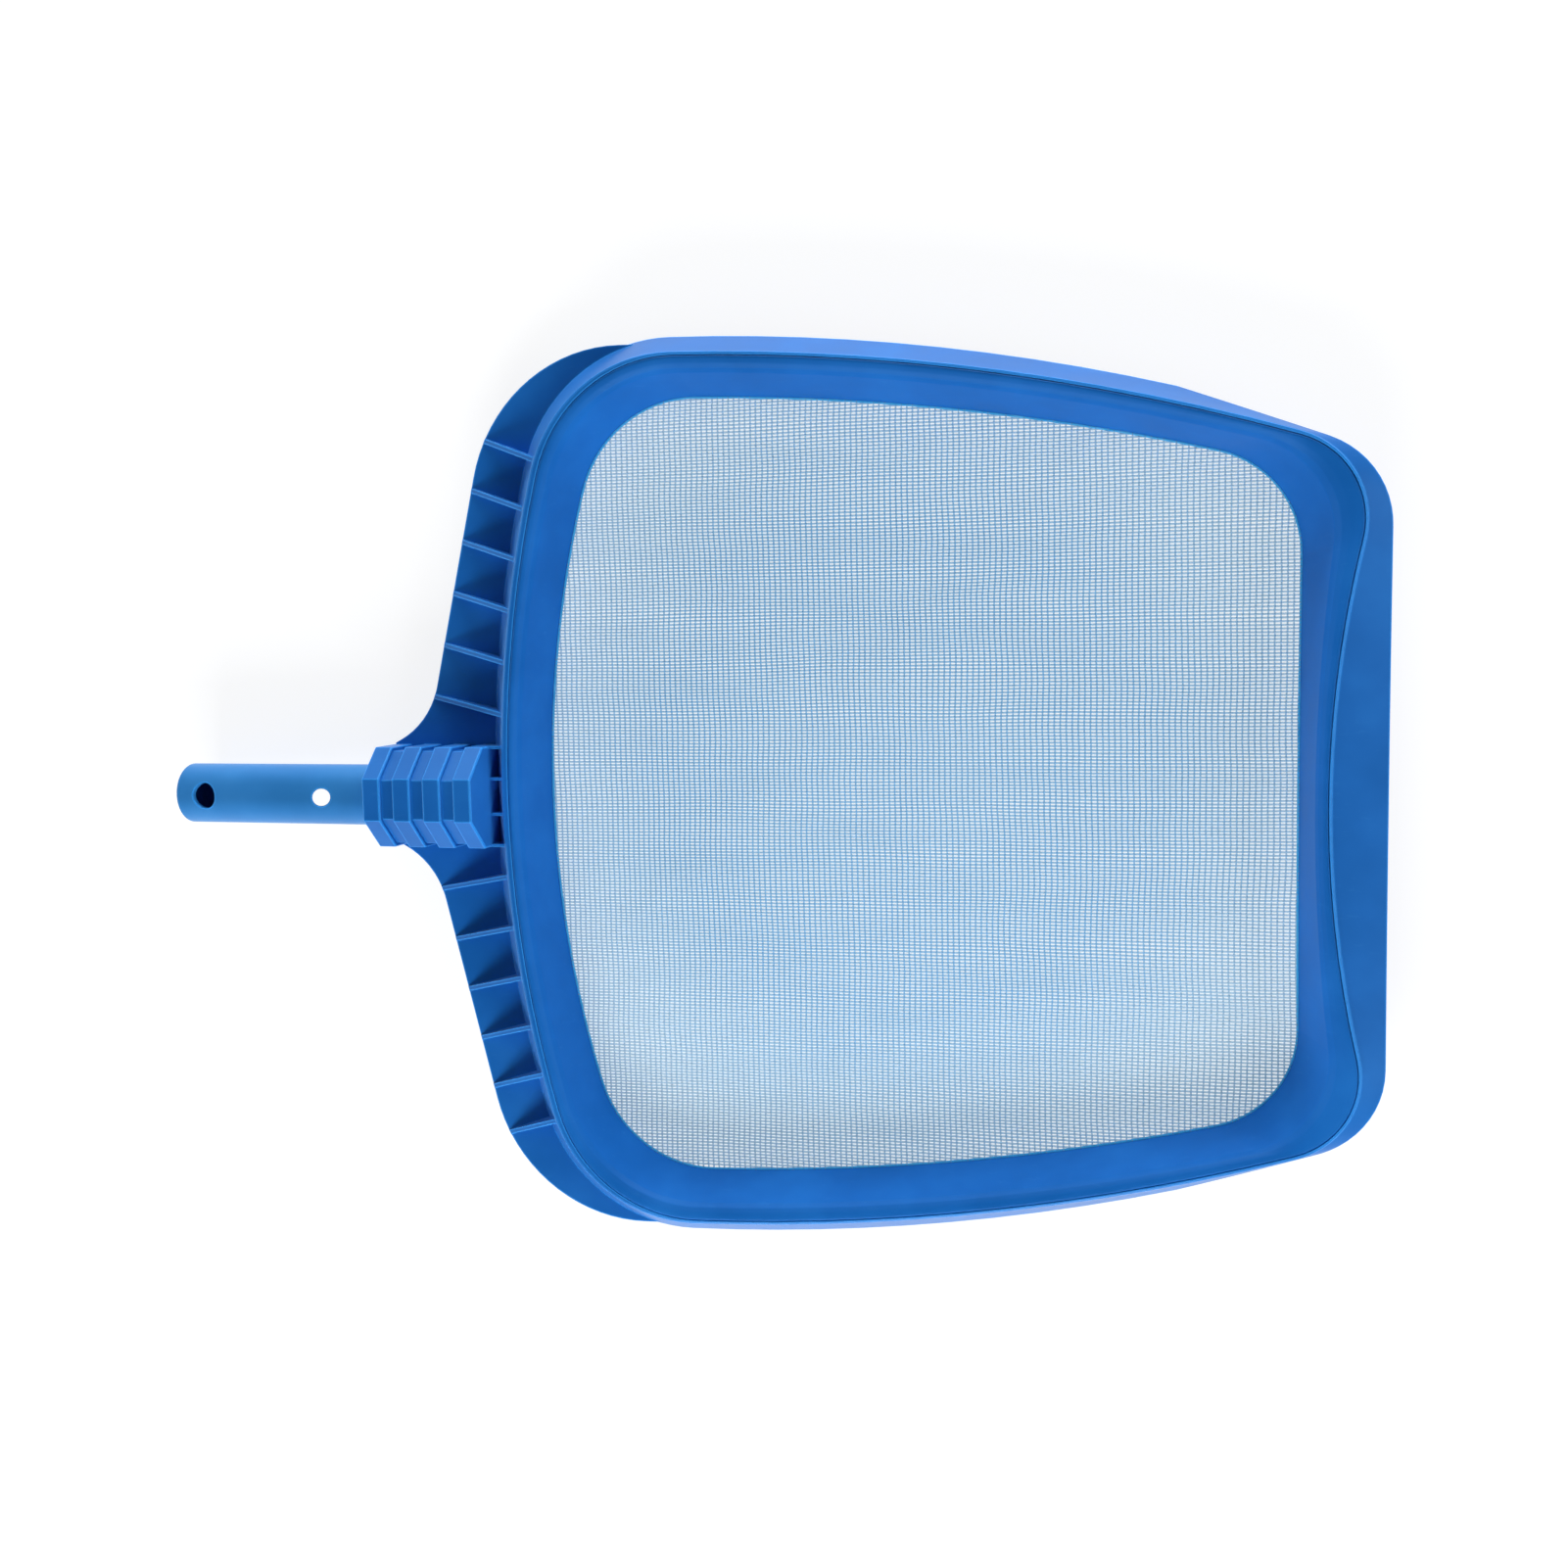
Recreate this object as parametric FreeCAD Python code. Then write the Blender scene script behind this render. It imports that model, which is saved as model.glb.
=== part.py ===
import FreeCAD, Part
import math
import os
from collections import namedtuple
from FreeCAD import Placement, Rotation, Vector

os.makedirs("parts", exist_ok=True)

# Leaf skimmer head: X runs from the handle to the front lip, Z is up.
# Sizes are in millimetres and angles in degrees. While the pieces are made, X is measured
# from the back of the seam on the centre line and Z from the seam's level.

# Plan of the seam, where the basket ring drops into the frame
ring_length = 351.0
ring_width = 380.6
widest_x = 49.2
back_radius = 548.0
side_radius = 944.0
front_radius = 463.0
back_corner = 64.0
front_corner = 35.0

# Opening over the net
net_depth = 28.5
opening_inset_back = 9.4
opening_inset_side = 13.7
opening_inset_front = 10.0
opening_widest_x = 39.7
opening_back_radius = 493.0
opening_side_radius = 1084.0
opening_front_radius = 10000.0
opening_back_corner = 54.4
opening_front_corner = 44.9

# Rim, outer skirt and front lip of the frame
rim_back = 3.7
rim_side = 2.1
rim_front = 1.5
rim_rounding = 1.2
skirt_depth = 18.0
skirt_flare_back = 14.2
skirt_flare_side = 10.6
skirt_back_radius = 574.0
skirt_side_radius = 913.0
skirt_back_corner = 71.0
skirt_wall = 2.2
lip_reach = 23.5
lip_drop = 8.0
lip_thickness = 2.5
rim_thickness = 2.7
lip_corner = 38.0
lip_straight = 218.0
lip_taper = 22.0
skirt_fade_start = 292.5
skirt_fade_end = 339.5

# Seat of the basket ring in the frame
seat_clearance = 0.15
seam_groove_width = 0.5
seam_groove_depth = 0.6
seat_wall = 2.0
ledge_thickness = 2.0
ledge_recess = 0.6

# Basket ring and net. The basket's curves give, from the seam down, how far the outline has
# come in towards the opening's and the depth; the outer one gives the wall before the depth.
basket_inner_curve = ((0.10, 0.2), (0.22, 0.9), (0.36, 2.4), (0.47, 4.8), (0.53, 7.5))
basket_outer_curve = ((0.36, 1.9, 5.0), (0.53, 2.2, 8.0))
basket_wall = 2.2
basket_land = 0.4
basket_shoulder = 2.2
basket_foot_width = 5.0
basket_foot_height = 2.2
net_thickness = 0.5
net_margin = 0.4
strand_width = 1.2
cell_length = 33.2
cell_width = 22.1

# Rear flange, its ribs and the webs behind the socket
flange_thickness = 2.5
shoulder_x = -4.9
shoulder_radius = 71.0
shoulder_inset = 0.5
shoulder_run = 60.0
shoulder_dip = 5.0
neck_x = -44.4
neck_y = 32.8
neck_radius = 38.0
neck_margin = 0.7
neck_setback = 1.0
rib_count = 6
rib_first_y = 36.8
rib_pitch = 23.9
rib_first_angle = 11.7
rib_angle_step = 1.7
rib_thickness = 2.2
rib_wall_drop = 2.5
rib_edge_height = 0.2
rib_length = 60.0
rib_root = 10.0
web_thickness = 1.3
web_offsets = (8.0, 22.2)
web_drop = 2.0
web_overlap = 1.0

# Octagonal socket and the handle tube
handle_droop = 2.0
socket_across_flats = 45.6
socket_rings = 4
socket_pitch = 15.0
groove_width = 6.2
groove_depth = 1.8
socket_chamfer = 0.5
socket_end_x = -9.7
socket_end_wall = 8.8
socket_clearance = 0.1
socket_mouth_drop = 7.0
tube_radius = 14.0
tube_wall = 2.5
tube_free_length = 104.5
tube_end_gap = 0.5
tube_shoulder = 0.5
tip_rounding = 1.5
tip_wall = 2.5
button_hole_radius = 6.0
button_hole_from_tip = 15.5
drain_hole_radius = 4.1
drain_hole_from_tip = 78.3
drain_hole_slant = 32.0
drain_hole_lean = 6.6

Plan = namedtuple("Plan", "back widest side front back_r side_r front_r back_corner front_corner")

seam = Plan(0.0, widest_x, ring_width / 2, ring_length,
            back_radius, side_radius, front_radius, back_corner, front_corner)
opening = Plan(opening_inset_back, opening_widest_x, ring_width / 2 - opening_inset_side,
               ring_length - opening_inset_front, opening_back_radius, opening_side_radius,
               opening_front_radius, opening_back_corner, opening_front_corner)
rim = Plan(-rim_back, widest_x, ring_width / 2 + rim_side, ring_length + rim_front,
           back_radius + rim_back, side_radius + rim_side, front_radius - rim_front,
           back_corner + rim_side, front_corner + rim_side)

# The lip and the skirt are one sloping surface, carried on in front to the skirt's full depth
# and then trimmed to the lip's own edge.
lip_slope = (lip_drop - rim_rounding) / (lip_reach - rim_front)
skirt_front = ring_length + rim_front + (skirt_depth - rim_rounding) / lip_slope
skirt = Plan(-skirt_flare_back, widest_x, ring_width / 2 + skirt_flare_side, skirt_front,
             skirt_back_radius, skirt_side_radius, opening_front_radius,
             skirt_back_corner, front_corner + skirt_flare_side)
skirt_inside = skirt._replace(back=skirt.back + skirt_wall, side=skirt.side - skirt_wall,
                              front=skirt.front - lip_thickness / lip_slope,
                              back_r=skirt.back_r - skirt_wall, side_r=skirt.side_r - skirt_wall,
                              back_corner=skirt.back_corner - skirt_wall,
                              front_corner=skirt.front_corner - skirt_wall)

base_depth = net_depth + net_thickness + ledge_thickness
socket_length = socket_rings * socket_pitch - groove_width
socket_mouth_x = socket_end_x - socket_length
socket_bore_depth = socket_length - socket_end_wall
handle_frame = Placement(Vector(socket_mouth_x, 0, -socket_mouth_drop),
                         Rotation(Vector(0, 1, 0), -handle_droop))
tip_x = socket_mouth_x - tube_free_length * math.cos(math.radians(handle_droop))
lip_x = ring_length + lip_reach
origin_shift = Vector(-(tip_x + lip_x) / 2, 0, base_depth)


def blend(share):
    # A plan part of the way from the seam to the opening: places and corners blend by length,
    # large arcs by curvature.
    mixed = [a + (b - a) * share for a, b in zip(seam, opening)]
    for index in (4, 5, 6):
        mixed[index] = 1 / ((1 - share) / seam[index] + share / opening[index])
    return Plan(*mixed)


def upper_meeting(centre_a, radius_a, centre_b, radius_b):
    span = centre_b - centre_a
    along = (radius_a ** 2 - radius_b ** 2 + span.Length ** 2) / (2 * span.Length)
    across = math.sqrt(radius_a ** 2 - along ** 2)
    step = Vector(span).normalize()
    foot = centre_a + step * along
    side = Vector(-step.y, step.x, 0) * across
    return max(foot + side, foot - side, key=lambda point: point.y)


def arc(centre, radius, start, end):
    middle = ((start - centre) + (end - centre)).normalize()
    return Part.Arc(start, centre + middle * radius, end).toShape()


def outline(plan, grow, z):
    # Eight tangent arcs: back, sides, front and the four corners, all grown outward alike.
    back_r, side_r, front_r = plan.back_r + grow, plan.side_r + grow, plan.front_r - grow
    back_corner_r, front_corner_r = plan.back_corner + grow, plan.front_corner + grow
    back_centre = Vector(plan.back + plan.back_r, 0, 0)
    side_centre = Vector(plan.widest, plan.side - plan.side_r, 0)
    front_centre = Vector(plan.front + plan.front_r, 0, 0)
    rear = upper_meeting(back_centre, back_r - back_corner_r, side_centre, side_r - back_corner_r)
    fore = upper_meeting(side_centre, side_r - front_corner_r,
                         front_centre, front_r + front_corner_r)
    back_end = back_centre + (rear - back_centre).normalize() * back_r
    side_rear = side_centre + (rear - side_centre).normalize() * side_r
    side_fore = side_centre + (fore - side_centre).normalize() * side_r
    front_end = front_centre + (fore - front_centre).normalize() * front_r

    def low(point):
        return Vector(point.x, -point.y, 0)

    edges = [
        arc(back_centre, back_r, back_end, low(back_end)),
        arc(low(rear), back_corner_r, low(back_end), low(side_rear)),
        arc(low(side_centre), side_r, low(side_rear), low(side_fore)),
        arc(low(fore), front_corner_r, low(side_fore), low(front_end)),
        arc(front_centre, front_r, low(front_end), front_end),
        arc(fore, front_corner_r, front_end, side_fore),
        arc(side_centre, side_r, side_fore, side_rear),
        arc(rear, back_corner_r, side_rear, back_end),
    ]
    wire = Part.Wire(edges)
    wire.translate(Vector(0, 0, z))
    return wire


def loft(levels):
    return Part.makeLoft([outline(plan, grow, z) for plan, grow, z in levels], True, True)


def rounded_wire(corners):
    # A closed outline in the XY plane from corners (x, y, radius).
    points = [Vector(x, y, 0) for x, y, radius in corners]
    edges, ends = [], []
    for index, (x, y, radius) in enumerate(corners):
        point = points[index]
        before = (points[index - 1] - point).normalize()
        after = (points[(index + 1) % len(points)] - point).normalize()
        if radius == 0:
            ends.append((point, point, None))
            continue
        half = before.getAngle(after) / 2
        reach = radius / math.tan(half)
        centre = point + (before + after).normalize() * (radius / math.sin(half))
        start, end = point + before * reach, point + after * reach
        ends.append((start, end, arc(centre, radius, start, end)))
    for index, (start, end, bend) in enumerate(ends):
        if bend:
            edges.append(bend)
        edges.append(Part.LineSegment(end, ends[(index + 1) % len(ends)][0]).toShape())
    return Part.Wire(edges)


def prism(wire, low_z, high_z):
    face = Part.Face(wire)
    face.translate(Vector(0, 0, low_z))
    return face.extrude(Vector(0, 0, high_z - low_z))


def mirrored(corners):
    return corners + [(x, -y, radius) for x, y, radius in reversed(corners)]


def wall_share(z):
    # How far the basket wall has come in at a height on its straight part.
    top_share, top_depth = basket_inner_curve[-1]
    return top_share + (1 - top_share) * (-top_depth - z) / (net_depth - top_depth)


def basket_outside(extra, low_z):
    # Outer face of the basket ring: a vertical edge at the seam, a sloping shoulder, the steep
    # wall and a foot that presses on the net border.
    foot_top = -net_depth + basket_foot_height
    foot_slope_z = foot_top + basket_foot_width - basket_wall
    curve = [(blend(share), wall + extra, -depth) for share, wall, depth in basket_outer_curve]
    return [
        (seam, extra, 0.0),
        (seam, extra, -basket_shoulder),
        *curve,
        (blend(wall_share(foot_slope_z)), basket_wall + extra, foot_slope_z),
        (opening, basket_foot_width + extra, foot_top),
        (opening, basket_foot_width + extra, low_z),
    ]


def basket_inside():
    # Inner face of the basket ring: a soft rolled edge that turns down into the steep wall.
    return [
        (seam, -basket_land, 1.0),
        (seam, -basket_land, 0.0),
        *[(blend(share), 0.0, -depth) for share, depth in basket_inner_curve],
        (opening, 0.0, -net_depth),
        (opening, 0.0, -net_depth - 1.0),
    ]


def make_basket_ring():
    return loft(basket_outside(0.0, -net_depth)).cut(loft(basket_inside()))


def outer_form():
    # The full form under rim, skirt and lip, before it is hollowed.
    bend = rim_rounding * (1 - math.sqrt(0.5))
    return loft([
        (rim, -rim_rounding, 0.0),
        (rim, -bend, -bend),
        (rim, 0.0, -rim_rounding),
        (skirt, 0.0, -skirt_depth),
    ])


def lip_plan():
    angle = math.radians(90 - lip_taper)
    half = lip_straight / 2
    centre_x = lip_x - lip_corner
    bend_x = centre_x + lip_corner * math.cos(angle)
    bend_y = half + lip_corner * math.sin(angle)
    slope = math.tan(math.radians(lip_taper))
    corner_y = bend_y - (lip_x - bend_x) * slope
    far = 2 * ring_width
    far_x = bend_x - (far - bend_y) / slope
    return rounded_wire(mirrored([(far_x, far, 0), (lip_x, corner_y, lip_corner)]))


def skirt_undercut():
    # The region under the skirt's lower edge: level at the sides and back, and rising towards
    # the front in a smooth double bend until only the lip is left.
    low, high = -skirt_depth, -lip_drop - lip_thickness
    middle_x, middle_z = (skirt_fade_start + skirt_fade_end) / 2, (low + high) / 2
    run = skirt_fade_end - skirt_fade_start
    quarter = run / 4
    bend = (high - low) / 8
    start = Vector(skirt_fade_start, 0, low)
    middle = Vector(middle_x, 0, middle_z)
    end = Vector(skirt_fade_end, 0, high)
    rise = Part.Arc(start, Vector(start.x + quarter, 0, low + bend), middle).toShape()
    settle = Part.Arc(middle, Vector(end.x - quarter, 0, high - bend), end).toShape()
    far = skirt_front + 1
    floor = -base_depth - 1
    corners = [end, Vector(far, 0, high), Vector(far, 0, floor), Vector(skirt_fade_start, 0, floor)]
    lines = [Part.LineSegment(a, b).toShape() for a, b in zip(corners, corners[1:] + [start])]
    face = Part.Face(Part.Wire([rise, settle] + lines))
    face.translate(Vector(0, -ring_width, 0))
    return face.extrude(Vector(0, 2 * ring_width, 0))


def make_skirt(form):
    hollow = loft([(rim, -skirt_wall, -rim_thickness), (skirt_inside, 0.0, -skirt_depth)])
    shell = form.cut(hollow).common(prism(lip_plan(), -base_depth, 1.0))
    return shell.cut(skirt_undercut())


def make_seat():
    # The wall around the basket ring and the ledge under the net border.
    outside = seat_clearance + seat_wall
    levels = basket_outside(outside, -base_depth)
    lowered = [(plan, grow, z - seat_wall / 2) for plan, grow, z in levels[1:-2]]
    foot_plan, foot_grow, foot_z = levels[-2]
    return loft(lowered + [(foot_plan, foot_grow, foot_z + seat_wall), levels[-1]])


def basket_space():
    # The room for the basket ring and the net, with a small lead-in groove at the seam.
    levels = basket_outside(seat_clearance, -net_depth - net_thickness)
    groove = [(seam, seam_groove_width, 1.0), (seam, seam_groove_width, 0.0),
              (seam, seat_clearance, -seam_groove_depth)]
    return loft(groove + levels[1:])


def flange_plan():
    mouth_y = socket_across_flats / 2 + neck_margin
    return rounded_wire(mirrored([
        (widest_x + shoulder_run, skirt.side - shoulder_dip, 0),
        (shoulder_x, skirt.side - shoulder_inset, shoulder_radius),
        (neck_x, neck_y, neck_radius),
        (socket_mouth_x + neck_setback, mouth_y, 0),
    ]))


def rib(y, angle, strip):
    # A thin upright plate whose top edge falls from the rim to the flange's own edge, which is
    # nearer to the rim at the outer ribs.
    turn = Rotation(Vector(0, 0, 1), -angle)
    middle = Vector(-rim_back, y, 0)
    line = Part.LineSegment(middle + turn.multVec(Vector(rib_length, 0, 0)),
                            middle - turn.multVec(Vector(rib_length, 0, 0))).toShape()
    free = line.common(strip)
    start = max((vertex.Point for vertex in free.Vertexes), key=lambda point: point.x)
    edge_z = -skirt_depth + flange_thickness + rib_edge_height
    fall = (-rib_wall_drop - edge_z) / free.Length
    points = [Vector(-rib_length, 0, -skirt_depth), Vector(rib_root, 0, -skirt_depth),
              Vector(rib_root, 0, -rib_wall_drop + rib_root * fall),
              Vector(-rib_length, 0, -rib_wall_drop - rib_length * fall)]
    plate = Part.Face(Part.makePolygon(points + points[:1]))
    plate.translate(Vector(0, -rib_thickness / 2, 0))
    solid = plate.extrude(Vector(0, rib_thickness, 0))
    solid.Placement = Placement(start, turn)
    return solid


def make_flange(form):
    depth_plan = flange_plan()
    plate = prism(depth_plan, -skirt_depth, -skirt_depth + flange_thickness)
    room = prism(depth_plan, -skirt_depth, 0.0)
    strip = Part.Face(depth_plan).cut(Part.Face(outline(rim, 0.0, 0.0)))
    ribs = []
    for index in range(rib_count):
        y = rib_first_y + index * rib_pitch
        angle = rib_first_angle + index * rib_angle_step
        ribs.append(rib(y, angle, strip))
        ribs.append(rib(-y, -angle, strip))
    return plate.fuse([one.common(room) for one in ribs]).cut(form)


def octagon(across_flats, x, length):
    radius = across_flats / 2 / math.cos(math.pi / 8)
    points = [Vector(x, radius * math.cos(math.pi / 8 + k * math.pi / 4),
                     radius * math.sin(math.pi / 8 + k * math.pi / 4)) for k in range(8)]
    return Part.Face(Part.makePolygon(points + points[:1])).extrude(Vector(length, 0, 0))


def socket_ring(x):
    ring = octagon(socket_across_flats, x, socket_pitch - groove_width)
    ends = [edge for edge in ring.Edges
            if abs(edge.Vertexes[0].X - edge.Vertexes[1].X) < socket_chamfer]
    return ring.makeChamfer(socket_chamfer, ends)


def make_socket():
    core = octagon(socket_across_flats - 2 * groove_depth, 0.0, socket_length)
    socket = core.fuse([socket_ring(k * socket_pitch) for k in range(socket_rings)])
    socket.Placement = handle_frame
    return socket


def socket_bore():
    bore = Part.makeCylinder(tube_radius - tube_shoulder + socket_clearance, socket_bore_depth + 1.0,
                             Vector(-1.0, 0, 0), Vector(1, 0, 0))
    bore.Placement = handle_frame
    return bore


def make_webs(form):
    length = -socket_end_x + 2 * web_overlap
    webs = []
    for offset in web_offsets:
        for y in (offset, -offset):
            corner = Vector(socket_end_x - web_overlap, y - web_thickness / 2, -skirt_depth)
            webs.append(Part.makeBox(length, web_thickness, skirt_depth - web_drop, corner))
    return Part.makeCompound(webs).cut(form)


def make_frame():
    form = outer_form()
    body = make_skirt(form).fuse([make_seat(), make_flange(form), make_socket(), make_webs(form)])
    window = prism(outline(opening, ledge_recess, 0.0), -base_depth - 1.0, -net_depth)
    return body.cut([basket_space(), window, socket_bore()]).removeSplitter()


def make_net():
    # One flat face with a hole for each mesh of the grid, given its thickness.
    sheet = Part.Face(outline(opening, basket_foot_width - net_margin, 0.0))
    clear = Part.Face(outline(opening, 0.0, 0.0))
    centre_x = (opening.back + opening.front) / 2
    columns = math.ceil((opening.front - opening.back) / 2 / cell_length)
    rows = math.ceil(opening.side / cell_width)
    holes = []
    for column in range(-columns, columns):
        for row in range(-rows, rows):
            corner = Vector(centre_x + column * cell_length + strand_width / 2,
                            row * cell_width + strand_width / 2, 0)
            cell = Part.makePlane(cell_length - strand_width, cell_width - strand_width, corner)
            holes.extend(face for face in cell.common(clear).Faces
                         if face.Area > 4 * strand_width ** 2)
    holed = sheet.cut(Part.makeCompound(holes)).Faces[0]
    holed.translate(Vector(0, 0, -net_depth - net_thickness))
    return holed.extrude(Vector(0, 0, net_thickness))


def make_handle_tube():
    # A turned profile: a closed, rounded tip, the free tube, and a shoulder at the socket's mouth
    # where the tube steps down to the end that sits in the socket.
    tip = -tube_free_length
    end = socket_bore_depth - tube_end_gap
    bore_radius = tube_radius - tube_wall
    seat_radius = tube_radius - tube_shoulder
    bend = tip_rounding * (1 - math.sqrt(0.5))
    rounding = Part.Arc(Vector(tip, 0, tube_radius - tip_rounding),
                        Vector(tip + bend, 0, tube_radius - bend),
                        Vector(tip + tip_rounding, 0, tube_radius)).toShape()
    corners = [Vector(tip + tip_rounding, 0, tube_radius), Vector(-tube_shoulder, 0, tube_radius),
               Vector(0, 0, seat_radius), Vector(end, 0, seat_radius), Vector(end, 0, bore_radius),
               Vector(tip + tip_wall, 0, bore_radius), Vector(tip + tip_wall, 0, 0),
               Vector(tip, 0, 0), Vector(tip, 0, tube_radius - tip_rounding)]
    lines = [Part.LineSegment(a, b).toShape() for a, b in zip(corners, corners[1:])]
    profile = Part.Face(Part.Wire([rounding] + lines))
    tube = profile.revolve(Vector(0, 0, 0), Vector(1, 0, 0), 360)
    button = Part.makeCylinder(button_hole_radius, tube_radius + 1.0,
                               Vector(button_hole_from_tip - tube_free_length, 0, 0))
    # The drain hole goes through both walls on a slant, lower towards the tip.
    down = Vector(-math.tan(math.radians(drain_hole_slant)),
                  -math.tan(math.radians(drain_hole_lean)), -1)
    mouth = Vector(drain_hole_from_tip - tube_free_length, 0, tube_radius)
    drain = Part.makeCylinder(drain_hole_radius, 4 * tube_radius,
                              mouth - down.normalize() * tube_radius, down)
    tube = tube.cut([button, drain])
    tube.Placement = handle_frame
    return tube


def export(name, shape):
    solids = shape.Solids
    print(name, "solids", len(solids), "faces", len(shape.Faces),
          "volume", round(shape.Volume), "valid", shape.isValid())
    solid = solids[0] if len(solids) == 1 else shape
    moved = solid.copy()
    moved.translate(origin_shift)
    moved.exportStep(os.path.join("parts", name + ".step"))


export("frame", make_frame())
export("basket_ring", make_basket_ring())
export("net", make_net())
export("handle_tube", make_handle_tube())
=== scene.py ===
import bpy
import math
from mathutils import Euler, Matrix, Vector
from mathutils.bvhtree import BVHTree


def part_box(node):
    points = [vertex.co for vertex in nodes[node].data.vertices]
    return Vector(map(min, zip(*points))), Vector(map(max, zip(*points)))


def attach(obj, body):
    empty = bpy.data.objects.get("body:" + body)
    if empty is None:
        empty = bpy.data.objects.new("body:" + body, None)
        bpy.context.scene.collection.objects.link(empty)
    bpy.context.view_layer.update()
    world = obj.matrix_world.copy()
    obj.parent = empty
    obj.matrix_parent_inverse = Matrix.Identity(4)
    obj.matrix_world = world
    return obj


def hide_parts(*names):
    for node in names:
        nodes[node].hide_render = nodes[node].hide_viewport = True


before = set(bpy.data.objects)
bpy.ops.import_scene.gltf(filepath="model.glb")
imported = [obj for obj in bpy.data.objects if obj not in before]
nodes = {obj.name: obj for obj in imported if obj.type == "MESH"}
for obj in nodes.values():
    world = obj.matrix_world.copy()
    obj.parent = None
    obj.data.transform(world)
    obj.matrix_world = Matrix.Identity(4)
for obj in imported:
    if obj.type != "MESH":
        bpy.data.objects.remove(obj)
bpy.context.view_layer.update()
scene = bpy.context.scene
print("frame loaded:", ", ".join(sorted(nodes)))

# Camera: looks down on the skimmer from just in front of its middle, handle to the left
camera = {
    "place": (0.211608, 0.079789, 0.739338),      # metres, in the row's frame
    "turn": (-6.02387, 14.66388, -1.25205),       # degrees, XYZ
    "sensor": 36,                                 # mm
    "lens": 36 * 1750 / 1601,                     # mm, 1750 pixels in a frame of 1601
    "nearest": 0.01,                              # metres, the clipping plane
}


def makeCamera(values):
    data = bpy.data.cameras.new("camera")
    data.sensor_width = values["sensor"]
    data.lens = values["lens"]
    data.clip_start = values["nearest"]
    eye = bpy.data.objects.new("camera", data)
    eye.location = values["place"]
    eye.rotation_euler = Euler([math.radians(a) for a in values["turn"]], "XYZ")
    scene.collection.objects.link(eye)
    scene.camera = eye


makeCamera(camera)
print("camera ready")


def linear(hexColour):
    # sRGB hex to the linear colour that the shader sockets take
    parts = [int(hexColour[i:i + 2], 16) / 255 for i in (1, 3, 5)]
    return tuple(p / 12.92 if p <= 0.04045 else ((p + 0.055) / 1.055) ** 2.4 for p in parts) + (1,)


def add(tree, kind, settings=None, inputs=None):
    # One node, with its settings, and its inputs as plain values or as another node's output
    node = tree.nodes.new(kind)
    for name, value in (settings or {}).items():
        setattr(node, name, value)
    for name, value in (inputs or {}).items():
        socket = node.inputs[name]
        if isinstance(value, bpy.types.NodeSocket):
            tree.links.new(value, socket)
        else:
            socket.default_value = value
    return node


def newMaterial(name):
    material = bpy.data.materials.new(name)
    material.use_nodes = True
    material.node_tree.nodes.clear()
    return material, material.node_tree


def ramp(tree, value, stops):
    # Stops are a place from 0 to 1 and a hex or linear colour
    node = add(tree, "ShaderNodeValToRGB", inputs={"Fac": value})
    elements = node.color_ramp.elements
    while len(elements) < len(stops):
        elements.new(1)
    for element, (place, colour) in zip(elements, stops):
        element.position = place
        element.color = linear(colour) if isinstance(colour, str) else colour
    return node.outputs["Color"]


def blend(tree, share, first, second):
    return add(tree, "ShaderNodeMix", {"data_type": "RGBA"}, {
        0: share, 6: first, 7: second}).outputs[2]


def times(tree, a, b):
    return add(tree, "ShaderNodeMath", {"operation": "MULTIPLY"}, {0: a, 1: b}).outputs[0]


def limits(tree, value, start, end, low=0.0, high=1.0, kind="LINEAR"):
    # The value's part of the way from start to end, as a number from low to high
    return add(tree, "ShaderNodeMapRange", {"interpolation_type": kind}, {
        "Value": value, "From Min": start, "From Max": end,
        "To Min": low, "To Max": high}).outputs["Result"]


def noise(tree, vector, scale, detail, roughness):
    return add(tree, "ShaderNodeTexNoise", inputs={
        "Vector": vector, "Scale": scale, "Detail": detail,
        "Roughness": roughness}).outputs["Fac"]


# Injection-moulded polypropylene copolymer, as pool tools are made of. A spark-eroded mould
# leaves it satin with a very fine orange peel; a season of use leaves faint rubs and dust.
framePlastic = {
    "colour": "#1868bc",
    "deeper": "#1462b3",
    "paler": "#1e71c6",
    "clouds": 0.045,            # metres across a patch of slightly different blue
    "cloudStops": (0.32, 0.5, 0.7),
    "worn": "#3a88d2",
    "wornShare": 0.18,
    "rubs": (90.0, 420.0, 200.0),    # rubs in a metre along X, Y and Z
    "rubStops": (0.6, 0.78),
    "thin": "#38a4ff",          # painted highlight: free-standing edges and rib tops painted a paler blue
    "thinReach": 0.0012,        # metres from an edge that it shows
    "thinTurn": (0.998, 0.94),  # cosine of the normal's turn at which it begins and is full
    "free": 0.006,              # metres that have to be open in front of such an edge
    "freeStops": (0.55, 0.9),
    "grain": 0.00045,           # metres between the peel's bumps
    "grainHeight": 0.0002,      # metres
    "bump": 0.05,
    "edge": 0.0004,             # metres, the mould's corner radius
    "roughness": 0.34,
    "roughnessSpread": (-0.03, 0.05),    # over the clouds from 0.3 to 0.7
    "shine": 0.27,              # specular level
    "shineTint": "#b4e0ff",
    "dust": 0.2,                # fine dust that pales what is seen at a slant
    "dustTint": "#a4daff",
    "dustRoughness": 0.35,
    "refraction": 1.49,
}
# The ring's painted edge highlight is a deeper blue and narrower.
ringPlastic = dict(framePlastic, roughness=0.45, shine=0.15, edge=0.0016, dust=0.05,
                   thin="#1c78d8", thinReach=0.0006)
tubePlastic = dict(framePlastic, colour="#2f80c8", deeper="#2b7ac0", paler="#3889d0",
                   grain=0.0006, roughness=0.36)
black, white = (0, 0, 0, 1), (1, 1, 1, 1)
edgeSamples = 6


def roundedNormal(tree, radius):
    return add(tree, "ShaderNodeBevel", {"samples": edgeSamples}, {
        "Radius": radius}).outputs["Normal"]


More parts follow.
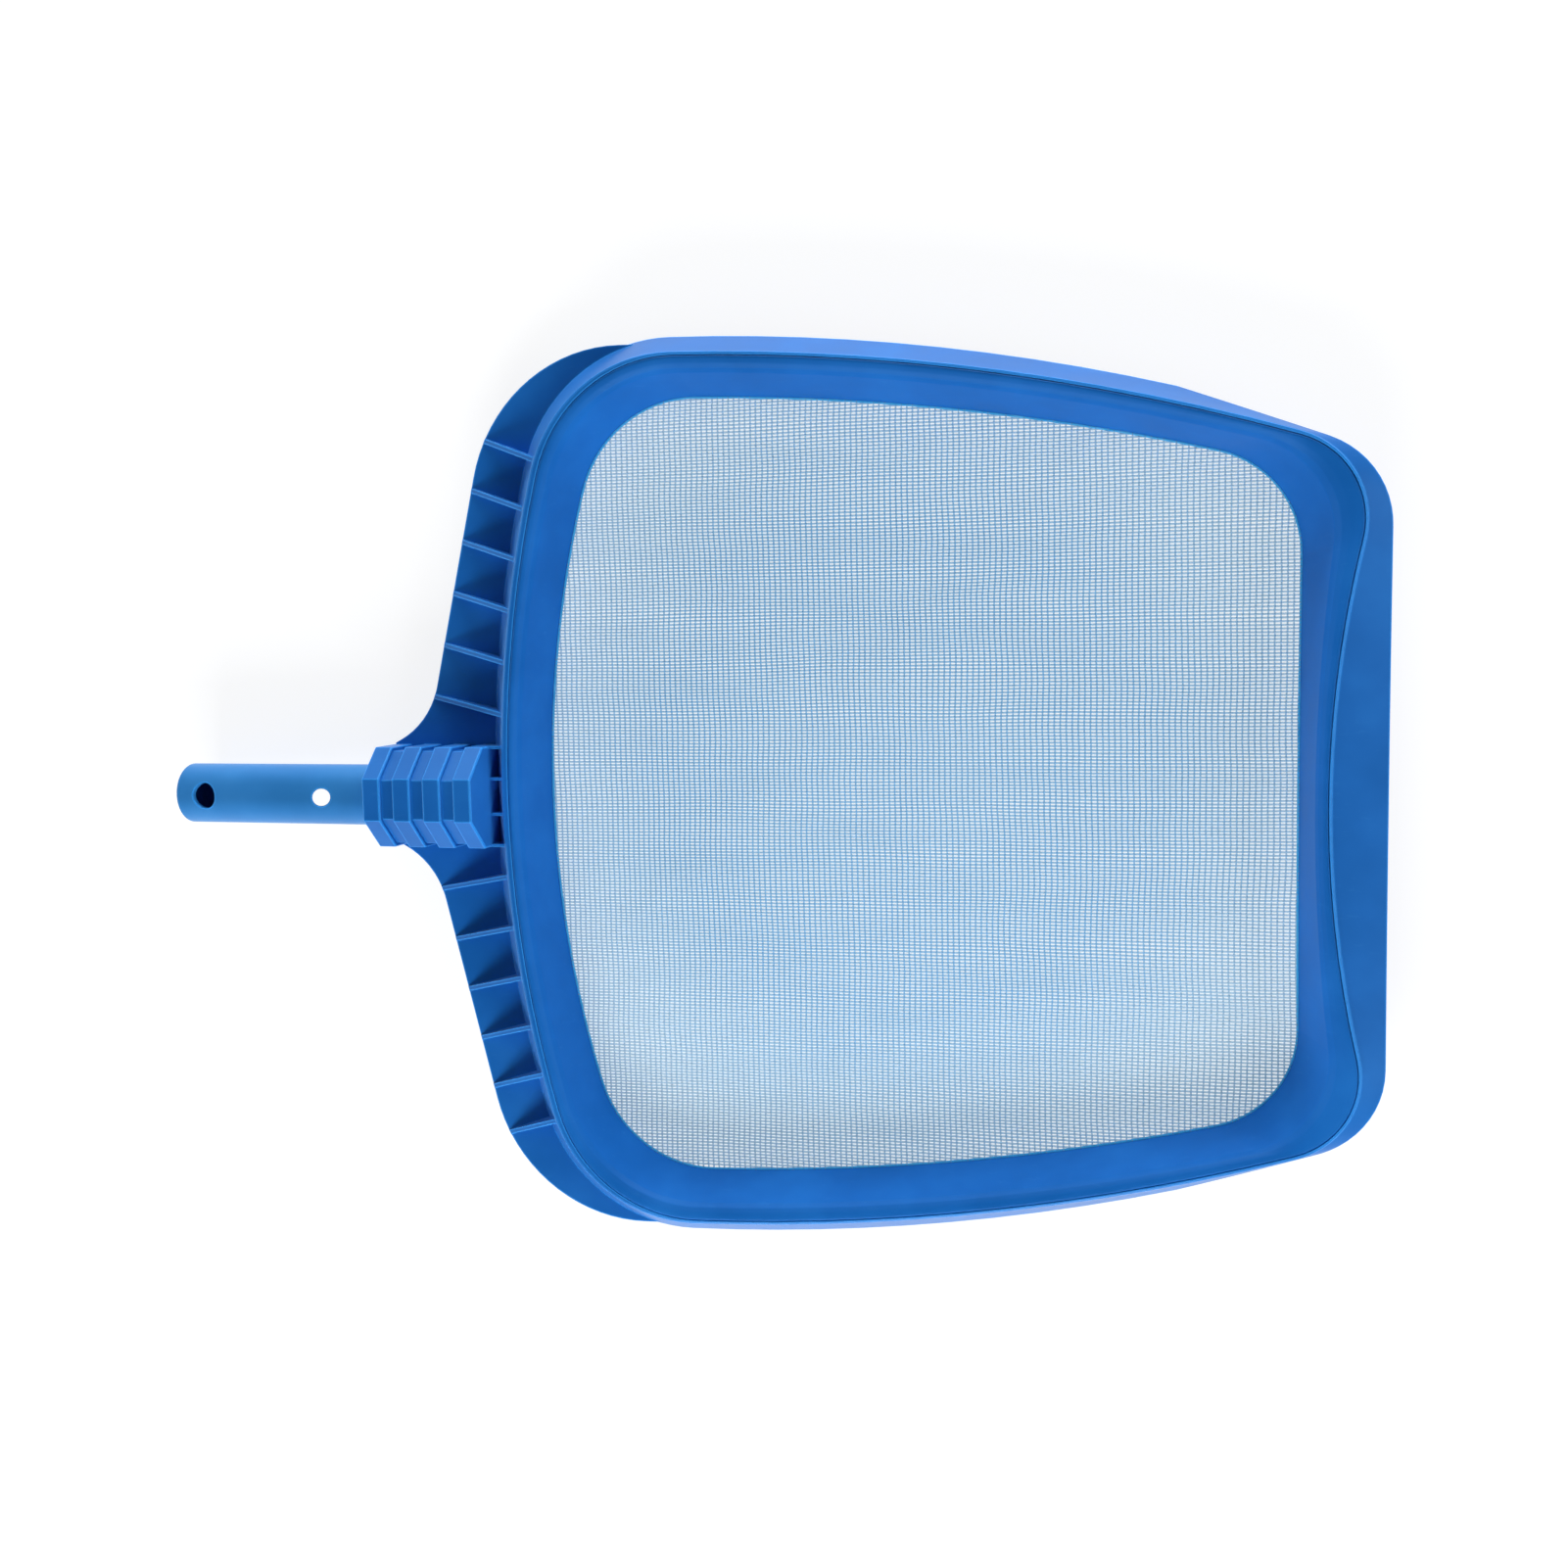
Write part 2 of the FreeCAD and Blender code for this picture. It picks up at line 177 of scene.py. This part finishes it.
def thinEdges(tree, look):
    # The mask of a painted highlight on edges that stand free: the rounded normal turns away from
    # the true one there, and nothing is close in front of it.
    turned = add(tree, "ShaderNodeVectorMath", {"operation": "DOT_PRODUCT"}, {
        0: roundedNormal(tree, look["thinReach"]),
        1: add(tree, "ShaderNodeNewGeometry").outputs["Normal"]}).outputs["Value"]
    clear = add(tree, "ShaderNodeAmbientOcclusion", {"samples": edgeSamples}, {
        "Distance": look["free"]}).outputs["AO"]
    return times(tree, limits(tree, turned, *look["thinTurn"]),
                 limits(tree, clear, *look["freeStops"]))


def mouldedPlastic(name, look):
    material, tree = newMaterial(name)
    place = add(tree, "ShaderNodeTexCoord").outputs["Object"]
    clouds = noise(tree, place, 1 / look["clouds"], 3.0, 0.55)
    colour = ramp(tree, clouds, list(zip(look["cloudStops"], (
        look["deeper"], look["colour"], look["paler"]))))
    stretched = add(tree, "ShaderNodeMapping", inputs={
        "Vector": place, "Scale": look["rubs"]}).outputs["Vector"]
    rubbed = ramp(tree, noise(tree, stretched, 1.0, 4.0, 0.7),
                  list(zip(look["rubStops"], (black, white))))
    colour = blend(tree, times(tree, rubbed, look["wornShare"]), colour, linear(look["worn"]))
    # Painted highlight: edges that stand free are painted a paler blue.
    colour = blend(tree, thinEdges(tree, look), colour, linear(look["thin"]))
    peel = noise(tree, place, 1 / look["grain"], 2.0, 0.5)
    bumped = add(tree, "ShaderNodeBump", inputs={
        "Height": peel, "Strength": look["bump"], "Distance": look["grainHeight"],
        "Normal": roundedNormal(tree, look["edge"])}).outputs["Normal"]
    roughness = limits(tree, clouds, 0.3, 0.7,
                       *(look["roughness"] + part for part in look["roughnessSpread"]))
    surface = add(tree, "ShaderNodeBsdfPrincipled", inputs={
        "Base Color": colour, "Roughness": roughness, "IOR": look["refraction"],
        "Specular IOR Level": look["shine"], "Specular Tint": linear(look["shineTint"]),
        "Sheen Weight": look["dust"], "Sheen Roughness": look["dustRoughness"],
        "Sheen Tint": linear(look["dustTint"]), "Normal": bumped})
    add(tree, "ShaderNodeOutputMaterial", inputs={"Surface": surface.outputs["BSDF"]})
    return material


def dress(node, material):
    mesh = nodes[node].data
    mesh.materials.clear()
    mesh.materials.append(material)


dress("frame", mouldedPlastic("framePolypropylene", framePlastic))
dress("basket_ring", mouldedPlastic("ringPolypropylene", ringPlastic))
dress("handle_tube", mouldedPlastic("tubePolypropylene", tubePlastic))
print("plastics ready")

# Net: plain weave of polyester monofilament, open across and closer along the skimmer.
# Each thread is a flattened strand that goes over one and under the next.
net = {
    "acrossPitch": 0.0025,        # metres between the threads that run from side to side
    "alongPitch": 0.00145,        # metres between the threads that run from back to front
    "acrossWidth": 0.00071,       # metres, the width of a thread of each kind
    "alongWidth": 0.00088,
    "threadThickness": 0.00024,
    "tuck": 0.0016,               # metres that each end reaches at least under the ring's foot
    "hemWidth": 0.0016,           # metres, the welded edge under the ring's foot
    "hemShows": 0.001,            # metres of it that show inside the foot
    "hemSteps": 288,
    "sway": 0.0045,               # metres that the threads wander from their lines
    "swayScale": 14.0,            # wanderings in a metre
    "swayStretch": (0.5, 1.4, 1.0),    # longer ones along the skimmer than across it
    "seed": 7,
    "middle": (28, 0),            # the threads where the four quarters of the net meet
    "widest": -2,                 # the thread at the opening's widest place
    "clearance": 0.0005,          # metres above the net at which the ring's wall is felt for
    "cornerShare": 0.9,           # of a quarter's rectangle, without the ring's round corner
    "hemFill": 0.9,               # of the room between the ring's foot and the frame's ledge
}
netPolyester = {
    "colour": "#b0dffa",          # the threads from side to side
    "deeper": "#a4d8f5",
    "paler": "#bce6fd",
    "clouds": 0.03,               # metres across a patch of slightly different blue
    "cloudStops": (0.3, 0.5, 0.7),
    "greyer": "#b4d6ec",          # the threads from back to front
    "outer": "#ecf6fb",           # painted light: the paler tone that both fade to near the ring, lifting the shade that the ring's walls cast on the net
    "fadeMiddle": (0.07, 0.012, 0.0),    # metres, where the painted fading is measured from, set towards +Y so the shaded -Y side gets more of it
    "fade": (0.1, 0.21),          # metres from there at which it begins and is full
    "roughness": 0.5,
    "shine": 0.2,                 # specular level
    "refraction": 1.53,
    "through": 0.35,              # the share of light that is scattered through the thread
    "clear": "#d8effc",           # what light that goes straight through is tinted
    "clearShare": 0.55,
}
netHem = dict(netPolyester, colour="#52c8fc", deeper="#26a0e8", paler="#90e2ff",
              outer="#52c8fc", clearShare=0.05, clouds=0.006)


def wovenPolyester(name, look):
    # Drawn polyester monofilament, dyed a clear blue: smooth and half see-through, so it looks
    # paler over the light floor and deeper where two threads cross. The hem is the same
    # polyester melted together, which is deeper in colour and no longer clear.
    material, tree = newMaterial(name)
    place = add(tree, "ShaderNodeTexCoord").outputs["Object"]
    clouds = noise(tree, place, 1 / look["clouds"], 4.0, 0.6)
    colour = ramp(tree, clouds, list(zip(look["cloudStops"], (
        look["deeper"], look["colour"], look["paler"]))))
    along = add(tree, "ShaderNodeAttribute", {"attribute_name": "alongThread"}).outputs["Fac"]
    colour = blend(tree, along, colour, linear(look["greyer"]))
    # Painted light: towards the ring the threads are painted paler, to lift the shade of the
    # ring's walls.
    away = add(tree, "ShaderNodeVectorMath", {"operation": "DISTANCE"}, {
        0: place, 1: look["fadeMiddle"]}).outputs["Value"]
    paintedLightShare = limits(tree, away, *look["fade"], kind="SMOOTHSTEP")
    colour = blend(tree, paintedLightShare, colour, linear(look["outer"]))
    solid = add(tree, "ShaderNodeBsdfPrincipled", inputs={
        "Base Color": colour, "Roughness": look["roughness"], "IOR": look["refraction"],
        "Specular IOR Level": look["shine"]}).outputs["BSDF"]
    scattered = add(tree, "ShaderNodeBsdfTranslucent", inputs={"Color": colour}).outputs["BSDF"]
    thread = add(tree, "ShaderNodeMixShader", inputs={
        "Fac": look["through"], 1: solid, 2: scattered}).outputs["Shader"]
    clear = add(tree, "ShaderNodeBsdfTransparent", inputs={
        "Color": linear(look["clear"])}).outputs["BSDF"]
    whole = add(tree, "ShaderNodeMixShader", inputs={
        "Fac": look["clearShare"], 1: thread, 2: clear})
    add(tree, "ShaderNodeOutputMaterial", inputs={"Surface": whole.outputs["Shader"]})
    return material


def newMaker(name, inputs):
    # A node tree with the geometry, these inputs and the material going in
    tree = bpy.data.node_groups.new(name, "GeometryNodeTree")
    kinds = {"Geometry": "Geometry", **inputs, "Material": "Material"}
    for label, kind in kinds.items():
        tree.interface.new_socket(label, in_out="INPUT", socket_type="NodeSocket" + kind)
    tree.interface.new_socket("Geometry", in_out="OUTPUT", socket_type="NodeSocketGeometry")
    return tree, add(tree, "NodeGroupInput").outputs


def endMaker(tree, geometry, material):
    real = add(tree, "GeometryNodeRealizeInstances", inputs={"Geometry": geometry})
    dressed = add(tree, "GeometryNodeSetMaterial", inputs={
        "Geometry": real.outputs["Geometry"], "Material": material})
    add(tree, "NodeGroupOutput", inputs={"Geometry": dressed.outputs["Geometry"]})


def weldedHem(name):
    # The loop of edges becomes a flat welded band with a rectangle's section.
    tree, given = newMaker(name, {"Width": "Float", "Thickness": "Float"})
    line = add(tree, "GeometryNodeMeshToCurve", inputs={"Mesh": given["Geometry"]})
    level = add(tree, "GeometryNodeSetCurveNormal", {"mode": "Z_UP"}, {
        "Curve": line.outputs["Curve"]})
    section = add(tree, "GeometryNodeCurvePrimitiveQuadrilateral", inputs={
        "Width": given["Width"], "Height": given["Thickness"]})
    band = add(tree, "GeometryNodeCurveToMesh", inputs={
        "Curve": level.outputs["Curve"], "Profile Curve": section.outputs["Curve"]})
    endMaker(tree, band.outputs["Mesh"], given["Material"])
    return tree


def wovenThreads(name):
    # Every edge of the piece is one thread's straight line. It's cut into steps one crossing
    # long, waved over and under, swayed sideways and given a flat strand's section.
    tree, given = newMaker(name, {
        "Across pitch": "Float", "Along pitch": "Float", "Across width": "Float",
        "Along width": "Float", "Thread thickness": "Float", "Sway": "Float",
        "Sway scale": "Float", "Sway stretch": "Vector", "Seed": "Float"})

    def maths(operation, a, b=0.0):
        return add(tree, "ShaderNodeMath", {"operation": operation}, {0: a, 1: b}).outputs[0]

    def pick(switch, kind, off, on):
        return add(tree, "GeometryNodeSwitch", {"input_type": kind}, {
            "Switch": switch, "False": off, "True": on}).outputs[0]

    lines = add(tree, "GeometryNodeMeshToCurve", inputs={"Mesh": given["Geometry"]})
    heading = add(tree, "ShaderNodeSeparateXYZ", inputs={
        "Vector": add(tree, "GeometryNodeInputTangent").outputs["Tangent"]}).outputs
    along = maths("GREATER_THAN", maths("ABSOLUTE", heading["X"]), 0.5)
    held = add(tree, "GeometryNodeCaptureAttribute", inputs={
        "Geometry": lines.outputs["Curve"]})
    held.capture_items.new("FLOAT", "Along")
    tree.links.new(along, held.inputs["Along"])
    isAlong = held.outputs["Along"]
    step = pick(isAlong, "FLOAT", given["Along pitch"], given["Across pitch"])
    length = add(tree, "GeometryNodeSplineLength").outputs["Length"]
    count = maths("ADD", maths("ROUND", maths("DIVIDE", length, step)), 1.0)
    stepped = add(tree, "GeometryNodeResampleCurve", {"mode": "COUNT"}, {
        "Curve": held.outputs["Geometry"], "Count": count})
    spot = add(tree, "GeometryNodeInputPosition").outputs["Position"]
    parts = add(tree, "ShaderNodeSeparateXYZ", inputs={"Vector": spot}).outputs
    across = maths("ROUND", maths("DIVIDE", parts["X"], given["Across pitch"]))
    alongs = maths("ROUND", maths("DIVIDE", parts["Y"], given["Along pitch"]))
    turn = maths("FLOORED_MODULO", maths("ADD", maths("ADD", across, alongs), isAlong), 2.0)
    lift = maths("MULTIPLY", maths("SUBTRACT", turn, 0.5), given["Thread thickness"])
    stretched = add(tree, "ShaderNodeVectorMath", {"operation": "MULTIPLY"}, {
        0: spot, 1: given["Sway stretch"]}).outputs[0]
    wander = add(tree, "ShaderNodeTexNoise", {"noise_dimensions": "4D"}, {
        "Vector": stretched, "W": given["Seed"], "Scale": given["Sway scale"],
        "Detail": 2.0}).outputs["Color"]
    loose = add(tree, "ShaderNodeVectorMath", {"operation": "SUBTRACT"}, {
        0: wander, 1: (0.5, 0.5, 0.5)}).outputs[0]
    drift = add(tree, "ShaderNodeVectorMath", {"operation": "SCALE"}, {
        0: loose, "Scale": given["Sway"]}).outputs[0]
    flat = add(tree, "ShaderNodeSeparateXYZ", inputs={"Vector": drift}).outputs
    away = add(tree, "ShaderNodeCombineXYZ", inputs={
        "X": flat["X"], "Y": flat["Y"], "Z": lift}).outputs[0]
    waved = add(tree, "GeometryNodeSetPosition", inputs={
        "Geometry": stepped.outputs["Curve"], "Offset": away})
    level = add(tree, "GeometryNodeSetCurveNormal", {"mode": "Z_UP"}, {
        "Curve": waved.outputs["Geometry"]})
    marked = add(tree, "GeometryNodeStoreNamedAttribute", {
        "data_type": "FLOAT", "domain": "POINT"}, {
        "Geometry": level.outputs["Curve"], "Name": "alongThread", "Value": isAlong})
    kinds = add(tree, "GeometryNodeSeparateGeometry", {"domain": "CURVE"}, {
        "Geometry": marked.outputs["Geometry"], "Selection": isAlong}).outputs
    strands = add(tree, "GeometryNodeJoinGeometry")
    for kind, width in (("Selection", "Along width"), ("Inverted", "Across width")):
        section = add(tree, "GeometryNodeCurvePrimitiveQuadrilateral", inputs={
            "Width": given[width], "Height": given["Thread thickness"]})
        swept = add(tree, "GeometryNodeCurveToMesh", inputs={
            "Curve": kinds[kind], "Profile Curve": section.outputs["Curve"], "Fill Caps": True})
        tree.links.new(swept.outputs["Mesh"], strands.inputs["Geometry"])
    endMaker(tree, strands.outputs["Geometry"], given["Material"])
    return tree


def ringWall():
    # The ring's faces, to send rays at
    return BVHTree.FromObject(nodes["basket_ring"], bpy.context.evaluated_depsgraph_get())


def threadLines(values):
    # Where every thread starts and ends, for each quarter of the net: straight across to the
    # basket ring's wall, and on under its foot to the next crossing.
    wall = ringWall()
    low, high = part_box("net")
    height = (low.z + high.z) / 2
    above = high.z + values["clearance"]
    across, along = values["acrossPitch"], values["alongPitch"]
    middleX, middleY = values["middle"]

    def reach(start, heading):
        hit = wall.ray_cast(Vector(start), Vector(heading))
        return None if hit[0] is None else (hit[0] - Vector(start)).length

    quarters = {(x, y): [] for x in (0, 1) for y in (0, 1)}
    for i in range(math.floor(low.x / across), math.ceil(high.x / across) + 1):
        out = reach((i * across, 0, above), (0, 1, 0)) if low.x < i * across < high.x else None
        if out:
            end = math.ceil((out + values["tuck"]) / along)
            for side, (a, b) in ((0, (-end, middleY)), (1, (middleY, end))):
                quarters[int(i >= middleX), side].append(
                    ((i * across, a * along, height), (i * across, b * along, height)))
    widest = values["widest"] * across
    most = math.floor(reach((widest, 0, above), (0, 1, 0)) / along)
    for j in range(-most, most + 1):
        start = (widest, j * along, above)
        fore, back = reach(start, (1, 0, 0)), reach(start, (-1, 0, 0))
        if fore and back:
            first = math.floor((start[0] - back - values["tuck"]) / across)
            last = math.ceil((start[0] + fore + values["tuck"]) / across)
            for side, (a, b) in ((0, (first, min(last, middleX))), (1, (middleX, last))):
                if a < b:
                    quarters[side, int(j >= middleY)].append(
                        ((a * across, j * along, height), (b * across, j * along, height)))
    return quarters


def grow(name, points, edges, tree, inputs):
    # A piece of plain edges, run through its node tree and kept as a plain mesh
    mesh = bpy.data.meshes.new(name)
    mesh.from_pydata(points, edges, [])
    piece = bpy.data.objects.new(name, mesh)
    scene.collection.objects.link(piece)
    maker = piece.modifiers.new("maker", "NODES")
    maker.node_group = tree
    sockets = {item.name: item.identifier for item in tree.interface.items_tree
               if item.item_type == "SOCKET" and item.in_out == "INPUT"}
    for label, value in inputs.items():
        maker[sockets[label]] = value
    graph = bpy.context.evaluated_depsgraph_get()
    made = bpy.data.meshes.new_from_object(piece.evaluated_get(graph))
    piece.modifiers.remove(maker)
    piece.data = made
    bpy.data.meshes.remove(mesh)
    made.name = name
    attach(piece, "root")
    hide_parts("net")
    return piece


def makeNet(values, material):
    tree = wovenThreads("wovenNet")
    inputs = {"Across pitch": values["acrossPitch"], "Along pitch": values["alongPitch"],
              "Across width": values["acrossWidth"], "Along width": values["alongWidth"],
              "Thread thickness": values["threadThickness"], "Sway": values["sway"],
              "Sway scale": values["swayScale"], "Sway stretch": values["swayStretch"],
              "Seed": float(values["seed"]), "Material": material}
    names = {(0, 0): "netBackLeft", (0, 1): "netBackRight",
             (1, 0): "netFrontLeft", (1, 1): "netFrontRight"}
    for quarter, lines in threadLines(values).items():
        points = [end for line in lines for end in line]
        edges = [(k, k + 1) for k in range(0, len(points), 2)]
        piece = grow(names[quarter], points, edges, tree, inputs)
        print(names[quarter], len(lines), "threads,", len(piece.data.polygons), "faces")


def makeHem(values, material):
    # The band follows the foot of the ring's wall, seen from the middle of the opening.
    wall = ringWall()
    low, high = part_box("net")
    middle = Vector(((low.x + high.x) / 2, 0, high.z + values["clearance"]))
    points = []
    for k in range(values["hemSteps"]):
        turn = 2 * math.pi * k / values["hemSteps"]
        place, normal = wall.ray_cast(middle, Vector((math.cos(turn), math.sin(turn), 0)))[:2]
        inward = Vector((normal.x, normal.y, 0)).normalized()
        spot = place + inward * (values["hemShows"] - values["hemWidth"] / 2)
        points.append((spot.x, spot.y, (low.z + high.z) / 2))
    count = len(points)
    edges = [(k, (k + 1) % count) for k in range(count)]
    piece = grow("netHem", points, edges, weldedHem("weldedHem"), {
        "Width": values["hemWidth"], "Thickness": values["hemFill"] * (high.z - low.z),
        "Material": material})
    print("hem", len(piece.data.polygons), "faces")


makeNet(net, wovenPolyester("netPolyester", netPolyester))
makeHem(net, wovenPolyester("hemPolyester", netHem))
print("net woven")

# Studio: a pale floor under a light tent that is white at its sides and grey overhead, a long
# soft lamp low on the left side, a smaller one on the right that gives the shadows their
# direction, and a soft one each from the front and from the back
studio = {
    "floor": "#f3f6fa",           # the floor as it lights the object
    "floorSeen": "#959799",       # what the camera and gloss see of the floor, so that with the
    "floorGlow": 0.8,             # glow it reads as white and still takes a shadow
    "floorFade": (0.7, 1.6),      # metres from the middle over which the glow rises to white
    "floorReach": 4.0,            # metres from the middle to the floor's edge
    "floorRoughness": 0.9,
    "floorShine": 0.2,            # specular level
    "ceiling": 0.15,              # how bright the tent's top is beside its sides
    "ceilingFade": (0.2, 0.85),   # the heights, from 0 to 1, over which it darkens
    "tentLevel": 0.49,            # what the tent gives as light
    "lamps": [                    # all but the watts in metres
        {"at": (0.05, 1.15, 0.14), "aim": (0.05, 0.0, 0.02), "size": (1.3, 0.22), "watts": 14.0},
        {"at": (-0.05, -1.0, 0.56), "aim": (0.03, 0.0, 0.02), "size": (0.8, 0.35), "watts": 11.0},
        {"at": (1.25, 0.0, 0.55), "aim": (0.05, 0.0, 0.02), "size": (1.2, 0.7), "watts": 7.0},
        {"at": (-1.2, 0.0, 0.27), "aim": (0.05, 0.0, 0.02), "size": (0.9, 0.3), "watts": 3.0},
    ],
}


def lookingRays(tree):
    # 1 for the camera's rays and for those of gloss and glass, else 0; and the camera's alone
    rays = add(tree, "ShaderNodeLightPath").outputs
    looking = rays["Is Camera Ray"]
    for other in ("Is Glossy Ray", "Is Transmission Ray"):
        looking = add(tree, "ShaderNodeMath", {"operation": "MAXIMUM"}, {
            0: looking, 1: rays[other]}).outputs[0]
    return looking, rays["Is Camera Ray"]


def makeTent(values):
    # The camera itself sees the tent as white all over.
    world = bpy.data.worlds.new("studio")
    world.use_nodes = True
    tree = world.node_tree
    tree.nodes.clear()
    height = add(tree, "ShaderNodeSeparateXYZ", inputs={
        "Vector": add(tree, "ShaderNodeTexCoord").outputs["Generated"]}).outputs["Z"]
    tent = limits(tree, height, *values["ceilingFade"], 1.0, values["ceiling"], "SMOOTHSTEP")
    looking, camera = lookingRays(tree)
    level = limits(tree, looking, 0.0, 1.0, values["tentLevel"], 1.0)
    strength = add(tree, "ShaderNodeMath", {"operation": "MAXIMUM"}, {
        0: times(tree, tent, level), 1: camera}).outputs[0]
    light = add(tree, "ShaderNodeBackground", inputs={"Color": white, "Strength": strength})
    add(tree, "ShaderNodeOutputWorld", inputs={"Surface": light.outputs["Background"]})
    scene.world = world


def makeFloor(values):
    material, tree = newMaterial("paleFloor")
    looking = lookingRays(tree)[0]
    away = add(tree, "ShaderNodeVectorMath", {"operation": "LENGTH"}, {
        0: add(tree, "ShaderNodeTexCoord").outputs["Object"]}).outputs["Value"]
    glow = limits(tree, away, *values["floorFade"], values["floorGlow"], 1.0, "SMOOTHSTEP")
    tone = blend(tree, looking, linear(values["floor"]), linear(values["floorSeen"]))
    matt = add(tree, "ShaderNodeBsdfPrincipled", inputs={
        "Base Color": tone, "Roughness": values["floorRoughness"],
        "Specular IOR Level": values["floorShine"], "Emission Color": white,
        "Emission Strength": times(tree, looking, glow)})
    add(tree, "ShaderNodeOutputMaterial", inputs={"Surface": matt.outputs["BSDF"]})
    mesh = bpy.data.meshes.new("floor")
    end = values["floorReach"]
    mesh.from_pydata([(-end, -end, 0), (end, -end, 0), (end, end, 0), (-end, end, 0)], [],
                     [(0, 1, 2, 3)])
    floor = bpy.data.objects.new("floor", mesh)
    floor.data.materials.append(material)
    scene.collection.objects.link(floor)


def makeLamps(values):
    for index, given in enumerate(values["lamps"]):
        data = bpy.data.lights.new(f"lamp{index + 1}", "AREA")
        data.shape = "RECTANGLE"
        data.size, data.size_y = given["size"]
        data.energy = given["watts"]
        lamp = bpy.data.objects.new(data.name, data)
        lamp.visible_camera = False
        lamp.location = given["at"]
        heading = Vector(given["aim"]) - Vector(given["at"])
        lamp.rotation_euler = heading.to_track_quat("-Z", "Y").to_euler()
        scene.collection.objects.link(lamp)


makeTent(studio)
makeFloor(studio)
makeLamps(studio)
scene.view_settings.view_transform = "Standard"
print("studio ready")
